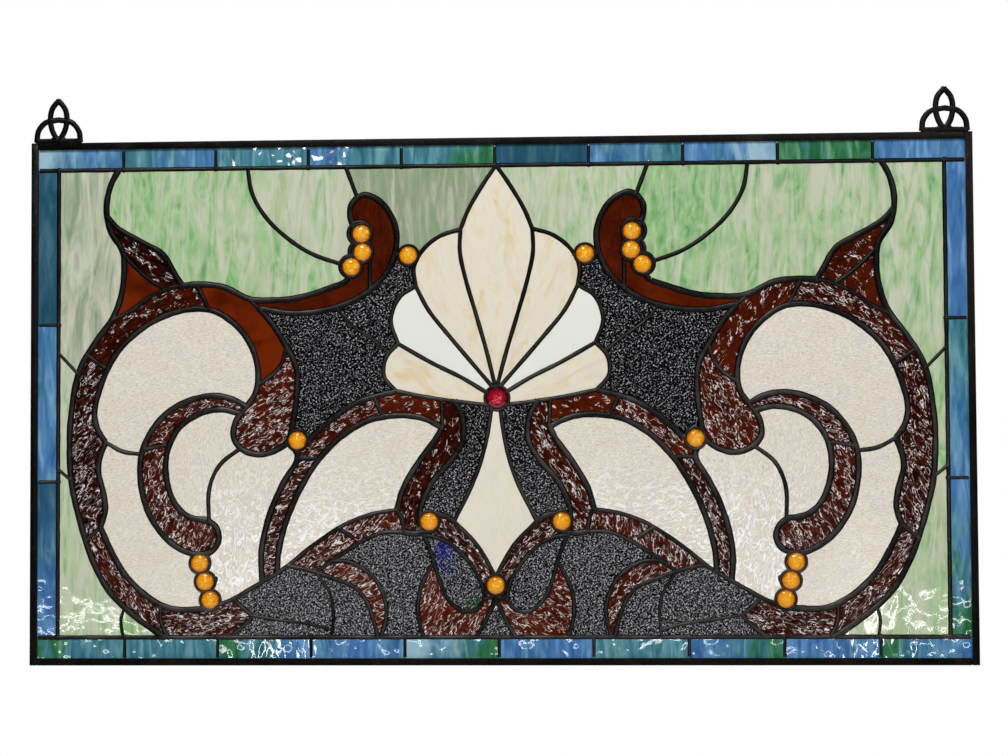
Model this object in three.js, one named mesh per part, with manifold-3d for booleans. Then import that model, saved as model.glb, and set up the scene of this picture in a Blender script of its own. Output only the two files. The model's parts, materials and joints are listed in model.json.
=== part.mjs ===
// A copper-foil stained glass panel, made to hang: flat panes of glass and round glass jewels,
// each edged with foil and joined by one net of solder, in a frame of metal U-channel, with a
// knot-shaped hanging loop soldered on at each top corner. Millimetres, X to the right, Z up,
// the front facing -Y. The panel is drawn with x from its middle and z from its bottom edge,
// and the whole group is then lowered so that the origin is where it hangs.
import * as THREE from "three";
import { mergeVertices } from "three/addons/utils/BufferGeometryUtils.js";
import Module from "manifold-3d";

const wasm = await Module();
wasm.setup();

// ---- Driving dimensions ----
const WIDTH = 914;
const HEIGHT = 510;
const GAP = 0.3; // left between pieces that touch
const GLASS = 3; // thickness of the sheet glass
const SOLDER = 5; // thickness of the solder net, front to back
const SEAM_BODY = GLASS + 2 * GAP; // glass runs on under a seam, between its two faces
const CHORD = 1.5; // how far a facet may leave its curve
const FINE = 0.15;
const SMALLEST_PANE = 60; // less than this, in square millimetres, is filled with solder

const FRAME_FACE = 7; // width of the U-channel seen from the front
const FRAME_DEPTH = 7.6;
const FRAME_WEB = 2.2; // metal behind the channel's slot

const BORDER_X = 430; // middle of the border's inner line
const BORDER_LOW = 27;
const BORDER_HIGH = 483;

const LINE = 3.4; // width of an ordinary line
const WIDE = 4.6; // width of a line beside the brown glass

const JEWEL_R = 8.8;
const JEWEL_RING = 2.1; // solder round a jewel
const JEWEL_DOME = 4.2;
const JEWEL_BACK = 1.6;
const JEWEL_SIDES = 8;
const RUBY_R = 10.6;

const LOOP_X = 431; // middle of each hanging loop
const LOOP_HALF = 21.6; // to the middle of the arch's strap at the foot
const LOOP_HIGH = 42; // to the middle of the strap at the point
const LOOP_STRAP = 4.8;
const LOOP_DEPTH = 4;
const LOOP_CHORD = 0.5;
const HANG_HEIGHT = HEIGHT + LOOP_HIGH - LOOP_STRAP; // where a hook bears in the loops' top holes

// ---- The drawing ----
// The left half. The right half is its mirror image, but for a lean to the left that grows low down.
const lean = (x, z) => {
  const low = THREE.MathUtils.clamp((330 - z) / 150, 0, 1);
  return -(0.8 + 2.3 * low) * (1 - Math.pow(x / BORDER_X, 6));
};
const mirrored = ([x, z]) => [2 * lean(x, z) - x, z];

// Lines that part one fused piece of glass from another. Each entry is a width and its runs, and
// each run is a smooth curve through its points.
const partingLines = {
  outer_scroll: [WIDE, [[-370.5, 484], [-379, 467.1], [-383, 445.2], [-379.3, 423.7],
    [-367.2, 403.4], [-365.3, 386.7], [-368.4, 358.6], [-376.5, 337.7], [-395.4, 311.4],
    [-409.9, 284.9], [-417.7, 239.6], [-418.8, 211.9], [-417, 178.2], [-409.5, 143.9],
    [-395.8, 101.4], [-378.8, 70.8], [-354.5, 47.6], [-324, 26]]],
  horn_top: [WIDE, [[-382.4, 437.1], [-371.5, 425.2], [-345.4, 410.2], [-326.9, 399.2],
    [-314.8, 379.1], [-307.2, 367.4]]],
  ring_top: [WIDE, [[-310, 368.6], [-294.2, 369.9], [-268.3, 367.3], [-240.8, 354.8],
    [-216.6, 353.8], [-191.4, 356.4], [-149.7, 369.5]]],
  ring_right: [WIDE, [[-233.5, 346.9], [-219.1, 330.1], [-205.7, 307.7], [-196.7, 289.7],
    [-195.1, 270], [-199.6, 233.7], [-204.1, 217], [-215.9, 207.9], [-232.9, 203.5],
    [-249.9, 209.3], [-257.6, 220.6], [-255.3, 236], [-250.5, 243.1]]],
  oval: [LINE, [[-244.3, 250.3], [-235.6, 264.7], [-233.4, 283.3], [-240.1, 309.1],
    [-257.4, 331.6], [-279.2, 344.3], [-306, 344.8], [-340.8, 331.6], [-371.3, 304.9],
    [-388.1, 271.7], [-394.3, 243.6], [-391.1, 228.6], [-383.1, 216.2]]],
  ring_inner: [LINE, [[-383.1, 216.2], [-388.8, 202.1], [-390.5, 188.8], [-385.3, 166.7],
    [-383.5, 149.7], [-388.3, 133.7]], [[-388.3, 133.7], [-379.9, 115.5], [-364.4, 88.3],
    [-342.6, 67], [-318.6, 54.7], [-284.4, 54.3]]],
  hook: [WIDE, [[-243.4, 249.1], [-257.8, 257.2], [-276.4, 261], [-299, 257.1], [-320.6, 246.3],
    [-338.3, 226.7], [-347.7, 204.9], [-348.9, 179.5], [-342.2, 150.5], [-326.1, 125.2],
    [-307.9, 111.4], [-291.9, 106.9], [-277.9, 110.9], [-271.9, 121.9], [-274.8, 133.5],
    [-282.9, 140.2]], [[-282.9, 140.2], [-301.1, 143.6], [-315, 156.6], [-323.6, 181.9],
    [-322.4, 207.4], [-311.2, 229.5], [-292.2, 243], [-269.3, 247.7], [-250.5, 243.1]]],
  kidney: [WIDE, [[-136.4, 453.4], [-127.9, 455.7], [-112.2, 447.5], [-99.9, 427.3], [-98, 406.1],
    [-107.3, 380.2], [-127.5, 360.3], [-159, 345.7], [-200.2, 340.8], [-231.6, 345.9]],
    [[-136.4, 453.4], [-142.5, 444.8], [-143.2, 434.7], [-138.2, 419.6]], [[-142.5, 384.7],
    [-146.8, 372.2], [-150.7, 369.6]]],
  shell: [LINE, [[0, 484], [-11.1, 468.3], [-27.6, 440.7], [-35.7, 421]], [[-35.7, 421],
    [-55.5, 414.7], [-72.8, 400.8], [-81.1, 383.7], [-79.4, 365.9]], [[-79.4, 365.9],
    [-95.4, 355.3], [-103.7, 332.6], [-96.9, 310.3]], [[-96.9, 310.3], [-108.4, 297.1],
    [-110.4, 278.4], [-98.9, 264.4]], [[-98.9, 264.4], [-70.2, 258.4], [-40.7, 253.9],
    [-8.3, 250]]],
  arch: [WIDE, [[-184.5, 217.4], [-160.6, 237.8], [-136.7, 253.6], [-98.9, 264.4]],
    [[-53.3, 228.3], [-73, 238], [-100.1, 240.7], [-128.1, 235.1], [-154.1, 219.2],
    [-178.4, 193.2], [-201.4, 151.3], [-213.2, 112.3], [-215.1, 88.2]], [[-198.4, 211],
    [-194.8, 200.1], [-208.5, 176.7], [-222.2, 145.9], [-230.3, 109.9], [-229.4, 78.8]]],
  column: [WIDE, [[-53.8, 230.2], [-59.6, 219.2], [-78.5, 193.6], [-92.7, 168.9], [-98.2, 149.5]],
    [[-91.3, 128.1], [-81.7, 126.4], [-63.7, 129.5]], [[-61.5, 145.5], [-51.7, 143.4],
    [-41.9, 137.2]], [[-43.1, 255.9], [-34.6, 238.3], [-34.6, 215.3], [-45.5, 197.2],
    [-64.4, 175.7], [-75.3, 150.2], [-75.2, 140.2]]],
  foot_end: [WIDE, [[-258.8, 65.5], [-247.8, 55], [-238.8, 47.6]], [[-238.8, 47.6],
    [-247.9, 37.8], [-263.5, 26]]],
  hill: [LINE, [[-276.5, 57.2], [-260.8, 62.7], [-242.1, 73.1], [-209, 92.7], [-182.3, 113.9],
    [-149.2, 135.5], [-122.8, 145.4], [-98.2, 149.5]]],
  lower_arch: [WIDE, [[-91.3, 128.1], [-112.7, 127.5], [-133.6, 118.8], [-154.9, 105.2],
    [-167, 96.8]], [[-205.9, 96.1], [-190, 93], [-175.1, 89.1]]],
  claw: [WIDE, [[-167, 96.8], [-156.9, 100.2], [-140.9, 98], [-119.8, 82.8], [-109.2, 57.6],
    [-110.2, 40.6], [-114.6, 26]], [[-177.1, 89.5], [-159, 83.2], [-138.9, 74.4], [-126.8, 58.8],
    [-116.6, 26]]],
  kite: [LINE, [[-5.9, 249], [-12.6, 211.5], [-23.3, 178.5], [-43, 138.2]], [[-43, 138.2],
    [-20.3, 114.4], [-2.8, 84]]],
  cup: [WIDE, [[-62.9, 99.7], [-75.4, 74.6], [-78.3, 50.4], [-72.6, 26]], [[-4.7, 62.2],
    [-10.7, 47.3], [-22.5, 26]]],
  webs: [8, [[-3.4, 70], [-3.4, 55]], [[-99, 397], [-91, 397]]],
  drop: [WIDE, [[-74.7, 125], [-61.7, 123], [-46, 116.1], [-33.1, 104.1], [-22.3, 89.2],
    [-15.9, 75.3], [-14.9, 62.5], [-23.6, 52.4], [-36.9, 51.4]], [[-35, 50.8], [-48.9, 62.4],
    [-56.8, 79.5], [-62.9, 99.7]]],
};

// The longer lines between tiles of one fused piece, laid on the front of the glass. Its shorter
// seams, and those on the back, are too fine for these solids.
const seamLines = {
  upper_ground: [LINE, [[-243.9, 484], [-239.4, 458.6], [-227.5, 436.9], [-208.3, 417.1],
    [-182, 399.2], [-148.5, 386.9]], [[-136.2, 453.1], [-147.8, 484]]],
  horn: [LINE, [[-377.4, 335.5], [-360.4, 343.8], [-340.7, 357.5], [-319.1, 367], [-307, 369]],
    [[-366.4, 399.7], [-344.9, 378.4], [-326.2, 365.3]]],
  bulb: [LINE, [[-205.7, 307.7], [-210.4, 292.1], [-219.1, 281.4], [-234.2, 271]],
    [[-250.6, 209.9], [-270.9, 193.9], [-281.2, 170.8], [-281.7, 139.5]]],
  oval_foot: [LINE, [[-383.1, 216.2], [-366.1, 207.2], [-346.9, 204.4]]],
  shell: [LINE, [[-35.7, 421], [-36.3, 399], [-31.5, 374.9], [-21.4, 339.8], [-11, 302.9],
    [-1.5, 263.4]], [[-79.4, 365.9], [-66.9, 342.4], [-46.8, 317.1], [-5, 267.4]],
    [[-96.9, 310.3], [-63.7, 291.3], [-34.6, 276.7], [-8, 260.5]]],
  upper_dark: [LINE, [[-157, 345.8], [-145, 331.6], [-121.1, 314.2], [-105.3, 301.2]]],
  dark_hill: [LINE, [[-177.1, 89.5], [-163.2, 67.9], [-160.3, 47.6], [-162.3, 26]]],
  arch: [LINE, [[-54.6, 257.2], [-53.9, 229.2]], [[-98.2, 149.5], [-93.5, 140], [-91.3, 127.5]]],
  drop: [LINE, [[-62.9, 99.7], [-66.4, 109.8], [-73.6, 127]]],
};

// Round glass jewels: x, z in the left half, and what they are called.
const jewelPlaces = {
  kidney_top: [-132, 417.5],
  kidney_middle: [-131, 399.5],
  kidney_low: [-142, 385.4],
  kidney_inner: [-86.5, 396],
  arch: [-195, 217],
  foot_top: [-290.4, 98.6],
  foot_middle: [-285.3, 80.8],
  foot_low: [-280.3, 63],
  column: [-67, 138],
};
const centreJewel = [-3, 76.6];
const ruby = [-1, 257];

// A point inside each fused piece of glass, in the left half.
const GREEN = ["#5f8f6c", 0.25];
const IVORY = ["#d9cba4", 0.35];
const CREAM = ["#e9e0c4", 0.3];
const BROWN = ["#7a2f14", 0.25];
const GRANITE = ["#20201f", 0.35];
const BLUE = ["#2f8ea6", 0.2];
const pairedPanes = {
  side_ground: [[-400, 440], GREEN],
  upper_ground: [[-300, 440], GREEN],
  oval: [[-310, 300], IVORY],
  hook_ground: [[-300, 200], IVORY],
  arch_ground: [[-130, 190], IVORY],
  scroll: [[-300, 357], BROWN],
  arch: [[-100, 250], BROWN],
  v_arm: [[-40, 128], BROWN],
  cup: [[-66, 55], BROWN],
  upper_dark: [[-150, 300], GRANITE],
  centre_dark: [[-45, 180], GRANITE],
  hill_dark: [[-200, 70], GRANITE],
  drop: [[-45, 90], GRANITE],
};
const centrePanes = {
  shell: [[0, 420], CREAM],
  kite: [[-4, 180], CREAM],
  centre_triangle: [[-3, 38], GRANITE],
};

// ---- Ways of making a solid ----
function toManifold(geometry) {
  const bare = geometry.clone();
  bare.deleteAttribute("normal");
  bare.deleteAttribute("uv");
  const merged = mergeVertices(bare, 1e-4);
  const index = Array.from(merged.index.array);
  const corners = index.filter((_, i) => {
    const [a, b, c] = index.slice(i - (i % 3), i - (i % 3) + 3);
    return a !== b && b !== c && c !== a;
  });
  return new wasm.Manifold(new wasm.Mesh({
    numProp: 3,
    vertProperties: new Float32Array(merged.attributes.position.array),
    triVerts: new Uint32Array(corners),
  }));
}

function toGeometry(solid) {
  const mesh = solid.getMesh();
  const geometry = new THREE.BufferGeometry();
  geometry.setAttribute("position", new THREE.BufferAttribute(mesh.vertProperties, 3));
  geometry.setIndex(new THREE.BufferAttribute(mesh.triVerts, 1));
  geometry.computeVertexNormals();
  return geometry;
}

// An outline in x and z, given a thickness along Y between two depths
function plate(outline, front, back) {
  const shape = new THREE.Shape(outline.map(([x, z]) => new THREE.Vector2(x, z)));
  const geometry = new THREE.ExtrudeGeometry(shape, { depth: back - front, bevelEnabled: false });
  geometry.rotateX(Math.PI / 2);
  geometry.translate(0, back, 0);
  return toManifold(geometry);
}

const rectangle = (x0, x1, z0, z1) => [[x0, z0], [x1, z0], [x1, z1], [x0, z1]];
const joined = (solids) => solids.reduce((all, solid) => all.add(solid));

// The fewest points of a run that stay within a reach of it, by Douglas and Peucker's way
function thinned(run, reach) {
  const points = run.map(([x, z]) => new THREE.Vector3(x, 0, z));
  const chord = new THREE.Line3(points[0], points[points.length - 1]);
  const foot = new THREE.Vector3();
  const away = points.map((point) => chord.closestPointToPoint(point, true, foot).distanceTo(point));
  const at = away.indexOf(Math.max(...away));
  if (away[at] < reach) return [run[0], run[run.length - 1]];
  return [...thinned(run.slice(0, at + 1), reach).slice(0, -1), ...thinned(run.slice(at), reach)];
}

// A closed ring thinned in two halves, parted at its two points that lie furthest from each other
function thinnedRing(ring, reach) {
  const furthest = ([x, z]) => {
    const away = ring.map(([a, b]) => Math.hypot(a - x, b - z));
    return away.indexOf(Math.max(...away));
  };
  const start = furthest(ring[furthest(ring[0])]);
  const turned = [...ring.slice(start), ...ring.slice(0, start)];
  const middle = turned.indexOf(ring[furthest(ring[start])]);
  const there = thinned(turned.slice(0, middle + 1), reach);
  const back = thinned([...turned.slice(middle), turned[0]], reach);
  return [...there.slice(0, -1), ...back.slice(0, -1)];
}

// A ring that runs anticlockwise, moved inwards by a distance
function inset(ring, distance) {
  const inward = ([x0, z0], [x1, z1]) => {
    const length = Math.hypot(x1 - x0, z1 - z0);
    return [(z0 - z1) / length, (x1 - x0) / length];
  };
  return ring.map((point, i) => {
    const before = inward(ring[(i + ring.length - 1) % ring.length], point);
    const after = inward(point, ring[(i + 1) % ring.length]);
    const share = distance / Math.max(1 + before[0] * after[0] + before[1] * after[1], 0.02);
    return [point[0] + (before[0] + after[0]) * share, point[1] + (before[1] + after[1]) * share];
  });
}

// The outline of a plate's front face, anticlockwise as seen from the front
function frontOutline(solid) {
  const { vertProperties, triVerts } = solid.getMesh();
  const front = solid.boundingBox().min[1];
  const next = new Map();
  for (let t = 0; t < triVerts.length; t += 3) {
    const corners = [triVerts[t], triVerts[t + 1], triVerts[t + 2]];
    if (!corners.every((v) => Math.abs(vertProperties[3 * v + 1] - front) < 1e-3)) continue;
    corners.forEach((from, k) => {
      const to = corners[(k + 1) % 3];
      if (next.get(to)?.delete(from)) return;
      if (!next.has(from)) next.set(from, new Set());
      next.get(from).add(to);
    });
  }
  const start = [...next.keys()].find((v) => next.get(v).size > 0);
  const ring = [];
  for (let v = start; ring.length === 0 || v !== start; [v] = next.get(v)) {
    ring.push([vertProperties[3 * v], vertProperties[3 * v + 2]]);
  }
  return ring;
}

// The outline of a ribbon of even width along a smooth run
function ribbon(run, width, reach) {
  const curve = new THREE.CatmullRomCurve3(run.map(([x, z]) => new THREE.Vector3(x, 0, z)));
  const along = thinned(curve.getPoints(run.length * 12).map(({ x, z }) => [x, z]), reach);
  const left = [];
  const right = [];
  along.forEach(([x, z], i) => {
    const [fromX, fromZ] = along[Math.max(i - 1, 0)];
    const [toX, toZ] = along[Math.min(i + 1, along.length - 1)];
    const into = new THREE.Vector2(x - fromX, z - fromZ).normalize();
    const out = new THREE.Vector2(toX - x, toZ - z).normalize();
    const way = into.clone().add(out).normalize();
    const half = width / 2 / Math.max(way.dot(i === 0 ? out : into), 0.5);
    left.push([x - way.y * half, z + way.x * half]);
    right.push([x + way.y * half, z - way.x * half]);
  });
  return [...right, ...left.reverse()];
}

function circle([x, z], radius) {
  return Array.from({ length: JEWEL_SIDES }, (_, i) => {
    const turn = ((i + 0.5) / JEWEL_SIDES) * 2 * Math.PI;
    return [x + radius * Math.cos(turn), z + radius * Math.sin(turn)];
  });
}

// Outlines of both halves of a set of lines
function lineOutlines(lines, reach) {
  return Object.values(lines).flatMap(([width, ...runs]) => runs.flatMap((run) => [
    ribbon(run, width, reach),
    ribbon(run.map(mirrored), width, reach),
  ]));
}

// ---- The scene ----
const group = new THREE.Group();
group.position.z = -HANG_HEIGHT;

function addPiece(name, solid, colour, roughness, metalness = 0) {
  const material = new THREE.MeshStandardMaterial({ color: colour, roughness, metalness });
  const mesh = new THREE.Mesh(toGeometry(solid), material);
  mesh.name = name;
  group.add(mesh);
}

// ---- Jewels: cabochons, domed in front, and one cut ruby where the petals meet ----
const jewels = [
  ...Object.entries(jewelPlaces).flatMap(([name, place]) => [
    [`jewel_${name}_left`, place, JEWEL_R],
    [`jewel_${name}_right`, mirrored(place), JEWEL_R],
  ]),
  ["jewel_centre", centreJewel, JEWEL_R],
  ["jewel_ruby", ruby, RUBY_R],
];
for (const [name, [x, z], radius] of jewels) {
  const cut = name === "jewel_ruby";
  const [shoulderOut, shoulderUp] = cut ? [0.55, 1] : [0.62, 0.75];
  const shoulder = [radius * shoulderOut, -GLASS / 2 - JEWEL_DOME * shoulderUp];
  const profile = [
    [0, -GLASS / 2 - JEWEL_DOME], shoulder, [radius, -GLASS / 2], [radius, GLASS / 2],
    [0, GLASS / 2 + JEWEL_BACK],
  ].map(([r, y]) => new THREE.Vector2(r, y));
  const geometry = new THREE.LatheGeometry(profile, JEWEL_SIDES);
  geometry.rotateY(Math.PI / JEWEL_SIDES);
  geometry.translate(x, 0, z);
  addPiece(name, toManifold(geometry), cut ? "#7a0f22" : "#f0a012", 0.1);
}

// ---- Panes: what is left of the sheet between the lines, each fused piece found by a point in it ----
const innerX = BORDER_X - LINE / 2;
const innerLow = BORDER_LOW + LINE / 2;
const innerHigh = BORDER_HIGH - LINE / 2;
const lines = joined([
  ...lineOutlines(partingLines, FINE),
  ...jewels.map(([, place, radius]) => circle(place, radius + JEWEL_RING)),
].map((outline) => plate(outline, -1, 1)));
const cells = plate(rectangle(-innerX, innerX, innerLow, innerHigh), 0, 1).subtract(lines)
  .decompose()
  .filter((cell) => cell.volume() > SMALLEST_PANE)
  .map((cell) => thinnedRing(frontOutline(cell), CHORD));

function holds(ring, [x, z]) {
  let inside = false;
  ring.forEach(([x1, z1], i) => {
    const [x0, z0] = ring[(i + ring.length - 1) % ring.length];
    if ((z1 > z) !== (z0 > z) && x < x1 + ((z - z1) / (z0 - z1)) * (x0 - x1)) inside = !inside;
  });
  return inside;
}

function addPane(name, place, [colour, roughness]) {
  const ring = cells.find((cell) => holds(cell, place));
  if (!ring) throw new Error(`no pane at ${name}`);
  addPiece(name, plate(inset(ring, GAP), -GLASS / 2, GLASS / 2), colour, roughness);
}
for (const [name, [place, glass]] of Object.entries(pairedPanes)) {
  addPane(`${name}_left`, place, glass);
  addPane(`${name}_right`, mirrored(place), glass);
}
for (const [name, [place, glass]] of Object.entries(centrePanes)) addPane(name, place, glass);

// The border's strips of tiles, whose outer edges lie in the frame's slot
const slotEdge = FRAME_WEB + GAP;
const stripX = WIDTH / 2 - slotEdge;
const stripGap = LINE / 2 + GAP;
const strips = {
  border_top: [-stripX, stripX, BORDER_HIGH + stripGap, HEIGHT - slotEdge],
  border_bottom: [-stripX, stripX, slotEdge, BORDER_LOW - stripGap],
  border_left: [-stripX, -BORDER_X - stripGap, BORDER_LOW + stripGap, BORDER_HIGH - stripGap],
  border_right: [BORDER_X + stripGap, stripX, BORDER_LOW + stripGap, BORDER_HIGH - stripGap],
};
for (const [name, sides] of Object.entries(strips)) {
  addPiece(name, plate(rectangle(...sides), -GLASS / 2, GLASS / 2), ...BLUE);
}

// ---- The solder net: lines right through, and seams on the front of fused pieces ----
const lipX = WIDTH / 2 - FRAME_FACE - GAP;
const face = SOLDER / 2;
const seams = lineOutlines(seamLines, CHORD).map((outline) => plate(outline, -face, -SEAM_BODY / 2));
const rim = rectangle(
  -BORDER_X - LINE / 2, BORDER_X + LINE / 2, BORDER_LOW - LINE / 2, BORDER_HIGH + LINE / 2,
);
const bores = jewels.map(([, place, radius]) => circle(place, radius + GAP));
const cut = (outlines) => joined(outlines.map((outline) => plate(outline, -SOLDER, SOLDER)));
const net = plate(rim, -face, face).subtract(cut(cells));
const arms = [BORDER_LOW, BORDER_HIGH].map((z) => (
  plate(rectangle(-lipX, lipX, z - LINE / 2, z + LINE / 2), -face, face)
));
addPiece("solder_net", joined([net, ...arms, ...seams]).subtract(cut(bores)), "#2b2a2a", 0.45, 0.8);

// ---- The frame: U-channel, the sides at full height and the top and bottom between them ----
const lip = FRAME_DEPTH / 2;
const slot = SEAM_BODY / 2;
function channel(outer, inner) {
  const inward = Math.sign(inner - outer);
  const webbed = outer + inward * FRAME_WEB;
  return [
    [outer, -lip], [inner, -lip], [inner, -slot], [webbed, -slot],
    [webbed, slot], [inner, slot], [inner, lip], [outer, lip],
  ];
}
function bar(name, profile, length, place) {
  const shape = new THREE.Shape(profile.map(([across, depth]) => new THREE.Vector2(across, depth)));
  const geometry = new THREE.ExtrudeGeometry(shape, { depth: length, bevelEnabled: false });
  place(geometry);
  addPiece(name, toManifold(geometry), "#1f1916", 0.5, 0.85);
}
const edgeX = WIDTH / 2;
bar("frame_left", channel(-edgeX, FRAME_FACE - edgeX), HEIGHT, () => {});
bar("frame_right", channel(edgeX, edgeX - FRAME_FACE).reverse(), HEIGHT, () => {});
const across = WIDTH - 2 * (FRAME_FACE + GAP);
const lieAcross = (z) => (geometry) => {
  geometry.rotateY(Math.PI / 2);
  geometry.translate(-across / 2, 0, z);
};
bar("frame_bottom", channel(0, -FRAME_FACE), across, lieAcross(0));
bar("frame_top", channel(0, FRAME_FACE), across, lieAcross(HEIGHT));

// ---- Hanging loops: a pointed loop through a broad arch, on a flat foot ----
const loopRuns = [
  [[0, LOOP_HIGH], [-6.3, 34], [-8.2, 23], [-6, 12], [0, 1.5]],
  [[-LOOP_HALF, 1.5], [-20, 12], [-13, 20.3], [0, 23]],
];
const strap = LOOP_STRAP / 2;
for (const [side, x] of [["left", -LOOP_X], ["right", LOOP_X]]) {
  const straps = loopRuns.flatMap((run) => [run, run.map(([a, z]) => [-a, z])])
    .map((run) => run.map(([a, z]) => [x + a, HEIGHT + GAP + z]))
    .map((run) => plate(ribbon(run, LOOP_STRAP, LOOP_CHORD), -LOOP_DEPTH / 2, LOOP_DEPTH / 2));
  const foot = rectangle(
    x - LOOP_HALF - strap, x + LOOP_HALF + strap, HEIGHT + GAP, HEIGHT + GAP + LOOP_STRAP,
  );
  addPiece(
    `hanging_loop_${side}`, joined([...straps, plate(foot, -LOOP_DEPTH / 2, LOOP_DEPTH / 2)]),
    "#3a3024", 0.5, 0.9,
  );
}

export default group;
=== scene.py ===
import json
import math
import random

import bpy
import numpy as np
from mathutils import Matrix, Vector

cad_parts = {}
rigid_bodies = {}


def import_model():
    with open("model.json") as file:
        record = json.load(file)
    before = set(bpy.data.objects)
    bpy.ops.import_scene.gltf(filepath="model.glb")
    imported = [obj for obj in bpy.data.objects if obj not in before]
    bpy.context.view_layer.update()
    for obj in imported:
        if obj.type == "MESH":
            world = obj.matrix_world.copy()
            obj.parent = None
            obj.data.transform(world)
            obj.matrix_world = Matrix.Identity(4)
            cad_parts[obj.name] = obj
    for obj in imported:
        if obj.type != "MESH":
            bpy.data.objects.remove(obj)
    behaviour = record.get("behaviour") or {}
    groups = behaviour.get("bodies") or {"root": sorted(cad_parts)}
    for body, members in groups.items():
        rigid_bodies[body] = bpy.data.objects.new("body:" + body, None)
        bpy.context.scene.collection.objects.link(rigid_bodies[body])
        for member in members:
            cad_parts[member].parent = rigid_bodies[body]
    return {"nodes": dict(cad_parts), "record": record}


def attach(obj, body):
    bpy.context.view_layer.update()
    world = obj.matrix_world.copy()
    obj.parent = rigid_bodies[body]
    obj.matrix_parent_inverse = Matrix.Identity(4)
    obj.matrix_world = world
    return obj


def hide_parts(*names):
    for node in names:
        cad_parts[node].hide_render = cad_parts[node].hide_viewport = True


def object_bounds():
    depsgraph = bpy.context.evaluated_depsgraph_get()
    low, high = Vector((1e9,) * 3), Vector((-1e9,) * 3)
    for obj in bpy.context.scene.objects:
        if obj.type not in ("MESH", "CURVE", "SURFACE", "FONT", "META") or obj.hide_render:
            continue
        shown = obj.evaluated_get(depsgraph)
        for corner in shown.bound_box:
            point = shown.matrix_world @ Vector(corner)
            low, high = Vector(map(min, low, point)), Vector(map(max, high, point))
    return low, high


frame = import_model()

cad_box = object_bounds()
bpy.ops.object.select_all(action="DESELECT")

# ---- Camera ----
# A longish lens, a little right of the middle and a little below it, square on to the panel but
# for a slight turn.
bpy.ops.object.camera_add(
    location=(0.1014, -1.9349, -0.3481),
    rotation=[math.radians(turn) for turn in (92.283, 0.305, 2.839)],
)
camera = bpy.context.object
camera.data.lens = 71.6
bpy.context.scene.camera = camera

# ---- The drawing ----
# The maker's full-size drawing of the panel, along whose lines every sheet of glass is cut. It
# gives the left half in millimetres, from the panel's middle and its bottom edge. The right half
# is its mirror image, but for a lean to the left that grows low down.
MM = 0.001
PANEL_FOOT = cad_box[0].z
PANEL_WIDE, PANEL_HIGH = 914, 510
BORDER_X, BORDER_LOW, BORDER_HIGH = 430, 27, 483
EDGE_X, EDGE_HIGH = 454.6, 507.6
LEAN_HIGH, LEAN_LOW, LEAN_FROM, LEAN_OVER = 0.8, 2.3, 330, 150


def lean(x, z):
    low = min(max((LEAN_FROM - z) / LEAN_OVER, 0), 1)
    return -(LEAN_HIGH + LEAN_LOW * low) * (1 - (x / BORDER_X) ** 6)


def mirrored(point):
    x, z = point
    return (2 * lean(x, z) - x, z)


def smooth_run(run, reach, parts):
    """Points along a centripetal Catmull-Rom curve through a run, its ends let out by a reach."""
    p = np.array(run, float)
    p = np.vstack([2 * p[0] - p[1], p, 2 * p[-1] - p[-2]])
    knots = np.concatenate([[0], np.cumsum(np.sqrt(np.hypot(*np.diff(p, axis=0).T)))])
    points = []
    for i in range(1, len(p) - 2):
        (t0, t1, t2, t3), (a, b, c, d) = knots[i - 1:i + 3], p[i - 1:i + 3]
        into = (b - a) / (t1 - t0) - (c - a) / (t2 - t0) + (c - b) / (t2 - t1)
        out = (c - b) / (t2 - t1) - (d - b) / (t3 - t1) + (d - c) / (t3 - t2)
        for s in np.linspace(0, 1, parts, endpoint=False):
            points.append(
                (2 * s**3 - 3 * s**2 + 1) * b + (s**3 - 2 * s**2 + s) * into * (t2 - t1)
                + (3 * s**2 - 2 * s**3) * c + (s**3 - s**2) * out * (t2 - t1)
            )
    points.append(p[-2])
    for end, before in ((0, 1), (-1, -2)):
        way = points[end] - points[before]
        points[end] = points[end] + way / np.hypot(*way) * reach
    return points


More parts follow.
